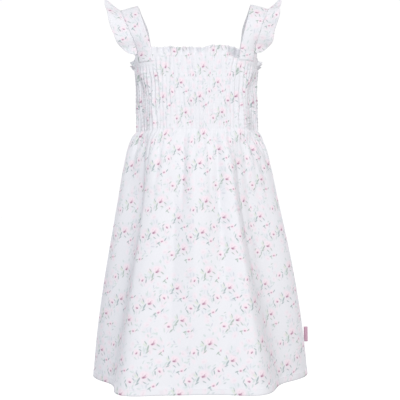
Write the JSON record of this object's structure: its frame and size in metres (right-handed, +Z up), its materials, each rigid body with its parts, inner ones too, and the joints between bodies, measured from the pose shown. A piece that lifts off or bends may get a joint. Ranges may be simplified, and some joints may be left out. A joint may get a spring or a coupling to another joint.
{
  "type": "toddler dress",
  "caption": "Sleeveless toddler dress in its worn shape: shirred bodice with a frilled top, flutter ruffle straps and a gathered skirt, open at neck, armholes and hem.",
  "frame": {"origin": "on the wearer's middle, level with the underside of the straps where they cross the shoulders", "axes": "+Z up, +X towards the wearer's left side, -Y towards the front of the dress"},
  "size_m": [0.3112, 0.2768, 0.5422],
  "materials": {
    "printed_cotton": "matt plain-weave cotton, white with a small scattered print of pink rosebuds and grey-green leaves",
    "pink_ribbon": "plain dusty pink ribbon with a soft satin sheen"
  },
  "bodies": {
    "root": {"front_panel": "printed_cotton", "back_panel": "printed_cotton", "strap_left": "printed_cotton", "strap_right": "printed_cotton", "ruffle_left": "printed_cotton", "ruffle_right": "printed_cotton", "side_tag": "pink_ribbon"}
  },
  "joints": []
}
